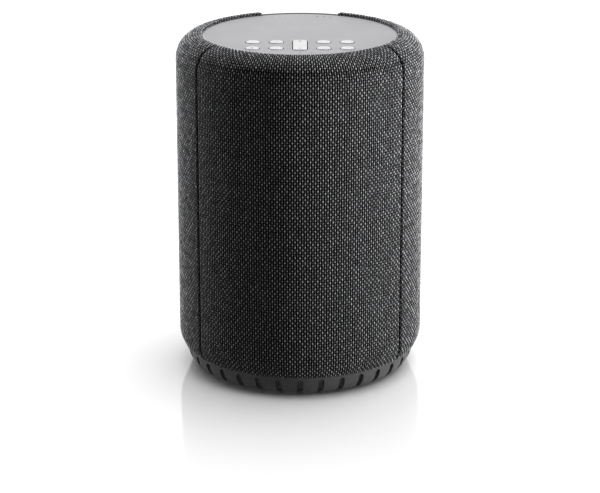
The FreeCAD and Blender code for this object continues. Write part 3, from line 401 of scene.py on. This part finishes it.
def cloth_panel(side, material, seed):
    """One stretched panel of woven cloth with turned edges at its seams."""
    node = f"{side}_cloth"
    low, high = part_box("front_cloth")
    outside = -low[1] / MM
    top = high[2] / MM
    span, heading = PANELS[side]
    path = cloth_profile(outside, top, PLATE_TOP)
    travelled = np.append(0, np.cumsum(np.linalg.norm(np.diff(path, axis=0), axis=1)))
    rows = round(travelled[-1] / WEFT_PITCH)
    width = math.radians(span - SEAM_SPAN) * outside
    columns = round(width / WARP_PITCH)

    along = yarn_steps(rows, 2)
    place = along / rows * travelled[-1]
    ring_r = np.interp(place, travelled, path[:, 0])
    ring_z = np.interp(place, travelled, path[:, 1])
    slope_r = np.gradient(ring_r, place)
    slope_z = np.gradient(ring_z, place)
    normal = np.column_stack((slope_z, -slope_r))
    normal /= np.linalg.norm(normal, axis=1)[:, None]

    across = yarn_steps(columns, 3)
    inside = width / columns * np.minimum(across, columns - across)
    bent = np.clip(EDGE_ROLL - inside, 0, EDGE_ROLL)
    drop = EDGE_ROLL - np.sqrt(EDGE_ROLL**2 - bent**2)
    walls = np.array([EDGE_DEPTH, EDGE_DEPTH - EDGE_TAPER, EDGE_ROLL + 0.5])
    wall_across = -walls / WARP_PITCH
    across = np.concatenate((wall_across, across, columns - wall_across[::-1]))
    drop = np.concatenate((walls, drop, walls[::-1]))

    u, v = np.meshgrid(across, along)
    lift = (weave_height(u, v) - 0.55) * WEAVE_DEPTH
    from_crease = (ring_z[:, None] - (top - CREASE_BELOW_TOP)) / CREASE_WIDTH
    creased = (u > 0) & (u < columns) & (side == CREASED_PANEL)
    crease = np.where(creased, np.exp(-((2 * from_crease) ** 2)), 0.0)
    lift = lift - CREASE_DEPTH * crease
    sink = np.broadcast_to(drop, u.shape)
    lift = np.where(sink > EDGE_ROLL, 0.35 * lift, lift) - sink
    share = np.clip(u / columns, 0, 1) - 0.5
    angle = np.radians(heading + share * (span - SEAM_SPAN))
    radius = ring_r[:, None] + normal[:, 0:1] * lift
    height = ring_z[:, None] + normal[:, 1:2] * lift
    points = np.stack((radius * np.cos(angle), radius * np.sin(angle), height), axis=-1) * MM
    uv = np.stack((u + 400 * seed, v + 200 * seed), axis=-1)
    piece = grid_mesh(f"{side}_cloth_woven", points, uv)
    painted_shade = piece.data.attributes.new("painted_shade", "FLOAT", "POINT")
    # Painted shade per point: full where the cloth sinks into a seam, CREASE_SHADE along the crease.
    shade = np.maximum(np.clip(sink / EDGE_ROLL, 0, 1), CREASE_SHADE * crease)
    painted_shade.data.foreach_set("value", shade.ravel())
    piece.data.materials.append(material)
    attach(piece, "housing")
    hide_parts(node)


def grid_mesh(name, points, uv):
    """A smooth mesh from a grid of points, with its weave coordinates."""
    rows, columns, _ = points.shape
    mesh = bpy.data.meshes.new(name)
    index = np.arange(rows * columns).reshape(rows, columns)
    corners = (index[:-1, :-1], index[:-1, 1:], index[1:, 1:], index[1:, :-1])
    faces = np.stack(corners, axis=-1).reshape(-1, 4)
    mesh.from_pydata(points.reshape(-1, 3), [], faces.tolist())
    layer = mesh.uv_layers.new(name="weave")
    layer.uv.foreach_set("vector", uv.reshape(-1, 2)[faces.ravel()].astype(np.float32).ravel())
    mesh.polygons.foreach_set("use_smooth", np.ones(len(mesh.polygons), dtype=bool))
    mesh.update()
    return link(name, mesh)


def link(name, mesh):
    made = bpy.data.objects.new(name, mesh)
    bpy.context.scene.collection.objects.link(made)
    return made


# ---------------------------------------------------------------- key icons

ROUND_KEYS = (
    "power_button",
    "source_button",
    "preset_button_1",
    "preset_button_2",
    "play_button",
    "pairing_button",
    "preset_button_3",
    "preset_button_4",
)
ICON_LIFT = 0.02
ICON_THICK = 0.03
KEY_DISH = 0.24
DISH_RADIUS = 3.05


def raised(made, ring, thick):
    """Adds a flat plate with the outline ring, a closed list of points in mm, and its thickness."""
    face = made.faces.new([made.verts.new(Vector(point) * MM) for point in ring])
    moved = bmesh.ops.extrude_face_region(made, geom=[face])
    verts = [v for v in moved["geom"] if isinstance(v, bmesh.types.BMVert)]
    bmesh.ops.translate(made, verts=verts, vec=(0, 0, thick * MM))


def key_centre(key):
    low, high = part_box(key)
    return (low[0] + high[0]) / 2 / MM, (low[1] + high[1]) / 2 / MM


def flat_icon(key, outlines, material):
    """Thin printed shapes on a key's top. An outline is a closed list of (x, y) from its centre."""
    centre_x, centre_y = key_centre(key)
    dish = KEY_DISH if key in ROUND_KEYS else 0.0
    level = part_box(key)[1][2] / MM - dish + ICON_LIFT
    made = bmesh.new()
    for outline in outlines:
        ring = []
        for x, y in outline:
            rise = dish * min(math.hypot(x, y) / DISH_RADIUS, 1.0) ** 2
            ring.append((centre_x + x, centre_y + y, level + rise))
        raised(made, ring, ICON_THICK)
    bmesh.ops.recalc_face_normals(made, faces=made.faces)
    mesh = bpy.data.meshes.new(f"{key}_icon")
    made.to_mesh(mesh)
    made.free()
    mesh.materials.append(material)
    icon = link(f"{key}_icon", mesh)
    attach(icon, key)


def ring_arc(radius, width, start, stop):
    """Outline of a band along an arc, in degrees."""
    steps = 20
    outer = []
    inner = []
    for number in range(steps + 1):
        turn = math.radians(start + (stop - start) * number / steps)
        for ring, r in ((outer, radius + width / 2), (inner, radius - width / 2)):
            ring.append((r * math.cos(turn), r * math.sin(turn)))
    return outer + inner[::-1]


def bar(x, y, width, height):
    left, right = x - width / 2, x + width / 2
    front, back = y - height / 2, y + height / 2
    return [(left, front), (right, front), (right, back), (left, back)]


def dots(count, y=0.0):
    """A centred row of small round dots."""
    pitch = 1.0
    radius = 0.3
    steps = 16
    rings = []
    for number in range(count):
        centre = (number - (count - 1) / 2) * pitch
        turns = [2 * math.pi * k / steps for k in range(steps)]
        rings.append([(centre + radius * math.cos(t), y + radius * math.sin(t)) for t in turns])
    return rings


def key_icons(material):
    stroke = 0.38
    icons = {
        "power_button": [ring_arc(1.25, stroke, 125, 415), bar(0, 0.95, stroke, 1.3)],
        "source_button": [
            ring_arc(1.3, stroke, 20, 160),
            ring_arc(1.3, stroke, 200, 340),
            bar(0, 0, 1.5, stroke),
        ],
        "play_button": [[(-0.9, -1.1), (1.15, 0), (-0.9, 1.1)]],
        "pairing_button": [
            ring_arc(0.55, stroke, 0, 180),
            ring_arc(0.55, stroke, 180, 360),
            ring_arc(1.4, stroke, -50, 50),
            ring_arc(1.4, stroke, 130, 230),
        ],
        "preset_button_1": dots(1),
        "preset_button_2": dots(2),
        "preset_button_3": dots(3),
        "preset_button_4": [*dots(2), *dots(2, 1.0)],
    }
    for key, outlines in icons.items():
        flat_icon(key, outlines, material)
    far = 8.6
    minus = [bar(0, -far, 1.9, stroke)]
    plus = [bar(0, far, 1.9, stroke)]
    plus += [bar(0, far + side * 0.58, stroke, 0.76) for side in (1, -1)]
    flat_icon("volume_rocker", minus + plus, material)


# ---------------------------------------------------------------- materials by slot


def slot_materials():
    """Each material slot of the record with its look."""
    grey = (0.395, 0.39, 0.41)
    return {
        "shell_black": moulded("shell_black", (0.016, 0.016, 0.018), 0.6),
        "spine_grey": moulded(
            "spine_grey", (0.060, 0.062, 0.066), 0.55, 0.5, 0.035, Specular_IOR_Level=0.3
        ),
        "foot_rubber": moulded(
            "foot_rubber", (0.108, 0.113, 0.108), 0.55, 0.6, 0.03, Specular_IOR_Level=0.3
        ),
        # The key holes in the plate and the keys' sides below the plate top get painted shade.
        "plate_grey": moulded("plate_grey", grey, 0.42, 0.22, 0.010, gap_shade_below=PLATE_TOP - 0.25),
        "key_white": moulded(
            "key_white", (0.80, 0.80, 0.805), 0.33, 0.4, 0.006, PLATE_TOP - 0.05, Coat_Weight=0.2
        ),
        "lens": lit_lenses("lens"),
        "membrane": moulded("membrane", (0.03, 0.03, 0.032), 0.5, 1.0),
        "board_green": circuit_board("board_green", (0.015, 0.09, 0.035)),
        "component": moulded("component", (0.020, 0.020, 0.022), 0.38, 0.5, 0.015),
        "heat_sink": metal("heat_sink", (0.62, 0.63, 0.65), 0.35),
        "box_black": moulded("box_black", (0.022, 0.022, 0.024), 0.55, 0.6, 0.03),
        "seal_foam": fibres("seal_foam", (0.03, 0.03, 0.03), 2500.0, 0.08),
        "wadding": fibres("wadding", (0.72, 0.72, 0.70), 700.0, 0.4),
        "screw_steel": metal("screw_steel", (0.36, 0.36, 0.37), 0.34),
        "pin_steel": metal("pin_steel", (0.60, 0.60, 0.61), 0.22, (30.0, 1.0, 1.0)),
        "contact_metal": metal("contact_metal", (0.78, 0.77, 0.72), 0.2, (1.0, 20.0, 1.0)),
        "driver_frame": moulded("driver_frame", (0.03, 0.03, 0.032), 0.5, 0.4, 0.03),
        "magnet": moulded("magnet", (0.06, 0.06, 0.065), 0.7, 0.8, 0.04),
        "soft_iron": metal("soft_iron", (0.45, 0.45, 0.46), 0.38),
        "cone_paper": fibres("cone_paper", (0.035, 0.035, 0.037), 1500.0, 0.06),
        "surround_rubber": moulded("surround_rubber", (0.020, 0.020, 0.021), 0.5, 0.8, 0.02),
        "spider_cloth": fibres("spider_cloth", (0.50, 0.30, 0.11), 2200.0, 0.06),
        "coil_wire": metal("coil_wire", (0.62, 0.30, 0.14), 0.3, (1.0, 60.0, 1.0)),
        "cable_black": moulded("cable_black", (0.02, 0.02, 0.02), 0.5, 1.2, 0.02),
        "ribbon": moulded("ribbon", (0.65, 0.66, 0.68), 0.35, 0.8, 0.01),
        "antenna": metal("antenna", (0.70, 0.55, 0.25), 0.3),
    }


def dress_nodes(looks):
    """Puts each slot's look on the CAD nodes that use it."""
    for entry in frame["record"]["subparts"]:
        look = looks.get(entry["material_slot"])
        node = frame["nodes"][entry["node"]]
        if look is not None:
            for slot in node.material_slots:
                slot.material = look


def puffed_wadding(material):
    """The soft absorbent block in the speaker box, as a lumpy, rounded pad."""
    low, high = (Vector(c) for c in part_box("acoustic_wadding"))
    made = bmesh.new()
    bmesh.ops.create_cube(made, size=1.0)
    bmesh.ops.subdivide_edges(made, edges=made.edges, cuts=15, use_grid_fill=True)
    centre = (low + high) / 2
    size = high - low
    for vert in made.verts:
        x, y, z = (2 * c for c in vert.co)
        round_off = 1 - 0.10 * (x * x * y * y + y * y * z * z + z * z * x * x) / 3
        lump = 0.965 + 0.03 * math.sin(9 * x + 2) * math.sin(8 * y + 1) * math.cos(7 * z)
        vert.co = centre + Vector((c * s for c, s in zip(vert.co, size))) * round_off * lump
    mesh = bpy.data.meshes.new("wadding_pad")
    made.to_mesh(mesh)
    made.free()
    mesh.polygons.foreach_set("use_smooth", [True] * len(mesh.polygons))
    mesh.materials.append(material)
    pad = link("wadding_pad", mesh)
    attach(pad, "housing")
    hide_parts("acoustic_wadding")


# ---------------------------------------------------------------- keypad membrane

SHEET_THICK = 1.0
SHEET_CORNER = 3.0
DOME_SIDE = ((3.0, 0.0), (2.85, 0.35), (2.35, 1.6), (2.2, 2.2), (2.15, 2.85), (1.9, 3.1))


def membrane_piece(name, made, material):
    mesh = bpy.data.meshes.new(name)
    made.to_mesh(mesh)
    made.free()
    mesh.materials.append(material)
    piece = link(name, mesh)
    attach(piece, "housing")
    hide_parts("keypad_membrane")
    return piece


def dome(name, x, y, floor_z, material):
    """One silicone dome under a key, in its resting shape; the real dome flattens as the key goes
    down.
    """
    made = bmesh.new()
    steps = 32
    rings = []
    for radius, rise in DOME_SIDE:
        ring = []
        for k in range(steps):
            turn = 2 * math.pi * k / steps
            point = (x + radius * math.cos(turn), y + radius * math.sin(turn), floor_z + rise)
            ring.append(made.verts.new(Vector(point) * MM))
        rings.append(ring)
    for lower, upper in zip(rings, rings[1:]):
        for k in range(steps):
            after = (k + 1) % steps
            made.faces.new((lower[k], lower[after], upper[after], upper[k]))
    made.faces.new(rings[0][::-1])
    made.faces.new(rings[-1])
    piece = membrane_piece(name, made, material)
    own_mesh(piece)


def rounded_outline(low, high, corner):
    """A rectangle's outline with round corners, anticlockwise, at the height of low."""
    inner_low = low + Vector((corner, corner, 0))
    inner_high = high - Vector((corner, corner, 0))
    steps = 8
    outline = []
    for centre_x, centre_y, start in (
        (inner_high[0], inner_high[1], 0),
        (inner_low[0], inner_high[1], 90),
        (inner_low[0], inner_low[1], 180),
        (inner_high[0], inner_low[1], 270),
    ):
        for step in range(steps + 1):
            turn = math.radians(start + 90 * step / steps)
            x = centre_x + corner * math.cos(turn)
            y = centre_y + corner * math.sin(turn)
            outline.append((x, y, low[2]))
    return outline


def keypad_membrane(material):
    """The silicone sheet with a dome under each key and under each end of the rocker."""
    low, high = (Vector(c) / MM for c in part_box("keypad_membrane"))
    floor_z = low[2] + SHEET_THICK
    made = bmesh.new()
    raised(made, rounded_outline(low, high, SHEET_CORNER), SHEET_THICK)
    bmesh.ops.recalc_face_normals(made, faces=made.faces)
    membrane_piece("membrane_sheet", made, material)
    for key in ROUND_KEYS:
        x, y = key_centre(key)
        dome(f"{key}_dome", x, y, floor_z, material)
    rocker_x = key_centre("volume_rocker")[0]
    for end, neighbour in (("back", "power_button"), ("front", "play_button")):
        y = key_centre(neighbour)[1]
        dome(f"rocker_{end}_dome", rocker_x, y, floor_z, material)


# ---------------------------------------------------------------- studio


def floor():
    mesh = bpy.data.meshes.new("studio_floor")
    made = bmesh.new()
    bmesh.ops.create_grid(made, x_segments=1, y_segments=1, size=6.0)
    made.to_mesh(mesh)
    made.free()
    shader = Shader("studio_floor", Specular_IOR_Level=1.0, IOR=1.9)
    mist = shader.noise(shader.place(), 3.0)
    shader.colour(shader.colours(mist, (0.945, 0.945, 0.945), (0.955, 0.955, 0.955)))
    shader.roughness(shader.span(mist, 0.0, 1.0, 0.06, 0.08))
    mesh.materials.append(shader.material)
    ground = link("studio_floor", mesh)
    # Light thrown back by the pale floor would wash out the dark front of the cloth.
    ground.visible_diffuse = False
    return ground


def area_light(name, place, aim, size, power, spread=180):
    data = bpy.data.lights.new(name, "AREA")
    data.shape = "RECTANGLE"
    data.size, data.size_y = size
    data.energy = power
    data.spread = math.radians(spread)
    light = bpy.data.objects.new(name, data)
    light.location = place
    light.rotation_euler = (Vector(aim) - Vector(place)).to_track_quat("-Z", "Y").to_euler()
    bpy.context.scene.collection.objects.link(light)
    return light


def kept_from(light, *pieces):
    """Keeps a light off some pieces, as a studio flag would."""
    lit = bpy.data.collections.new(f"kept_from_{light.name}")
    for number, piece in enumerate(pieces):
        lit.objects.link(piece)
        lit.collection_objects[number].light_linking.link_state = "EXCLUDE"
    light.light_linking.receiver_collection = lit


def kept_for(light, piece):
    """Lets a light fall on one piece alone."""
    lit = bpy.data.collections.new(f"kept_for_{light.name}")
    lit.objects.link(piece)
    light.light_linking.receiver_collection = lit


def lights(ground):
    """Key from the right, rim from the left rear and top for the object, and three for the floor."""
    key = area_light("key", (1.15, -0.16, 0.21), (0, 0, 0.21), (0.5, 0.40), 0.95, 36)
    rim = area_light("rim", (-1.0, 0.65, 0.20), (0, 0, 0.20), (0.35, 0.40), 1.6, 60)
    top = area_light("top", (0, 1.5, 3.2), (0, 0, 0.15), (1.6, 1.2), 78)
    kept_from(key, ground)
    kept_from(top, ground)
    kept_from(rim, ground, frame["nodes"]["foot_ring"])
    wash = area_light("wash", (0.1, 0.4, 3.0), (0, 0, 0), (3.6, 3.6), 82)
    side_wash = area_light("side_wash", (1.3, -0.2, 2.7), (0, 0, 0), (3.2, 3.2), 70)
    kept_for(wash, ground)
    kept_for(side_wash, ground)
    backdrop = area_light("backdrop", (0, 3.4, 2.4), (0, 3.4, 0), (5.0, 3.6), 48)
    kept_for(backdrop, ground)


def world():
    """Bright behind the object and dim in front of it."""
    made = bpy.data.worlds.new("studio")
    made.use_nodes = True
    nodes = made.node_tree.nodes
    links = made.node_tree.links
    background = nodes["Background"]
    coordinates = nodes.new("ShaderNodeTexCoord")
    parts = nodes.new("ShaderNodeSeparateXYZ")
    ramp = nodes.new("ShaderNodeMapRange")
    ramp.interpolation_type = "SMOOTHSTEP"
    for key, value in (("From Min", -0.2), ("From Max", 0.7), ("To Min", 0.11), ("To Max", 0.9)):
        ramp.inputs[key].default_value = value
    links.new(coordinates.outputs["Generated"], parts.inputs[0])
    links.new(parts.outputs[1], ramp.inputs["Value"])
    links.new(ramp.outputs[0], background.inputs["Strength"])
    background.inputs["Color"].default_value = (1, 1, 1, 1)
    bpy.context.scene.world = made


# ---------------------------------------------------------------- build

make_camera()
cloth_look = cloth_material()
for number, side in enumerate(PANELS):
    cloth_panel(side, cloth_look, number)
looks = slot_materials()
dress_nodes(looks)
puffed_wadding(looks["wadding"])
keypad_membrane(looks["membrane"])
key_icons(moulded("icon_ink", (0.10, 0.10, 0.105), 0.4, 0.3, 0.004))
lights(floor())
world()
bpy.context.scene.view_settings.view_transform = "Standard"
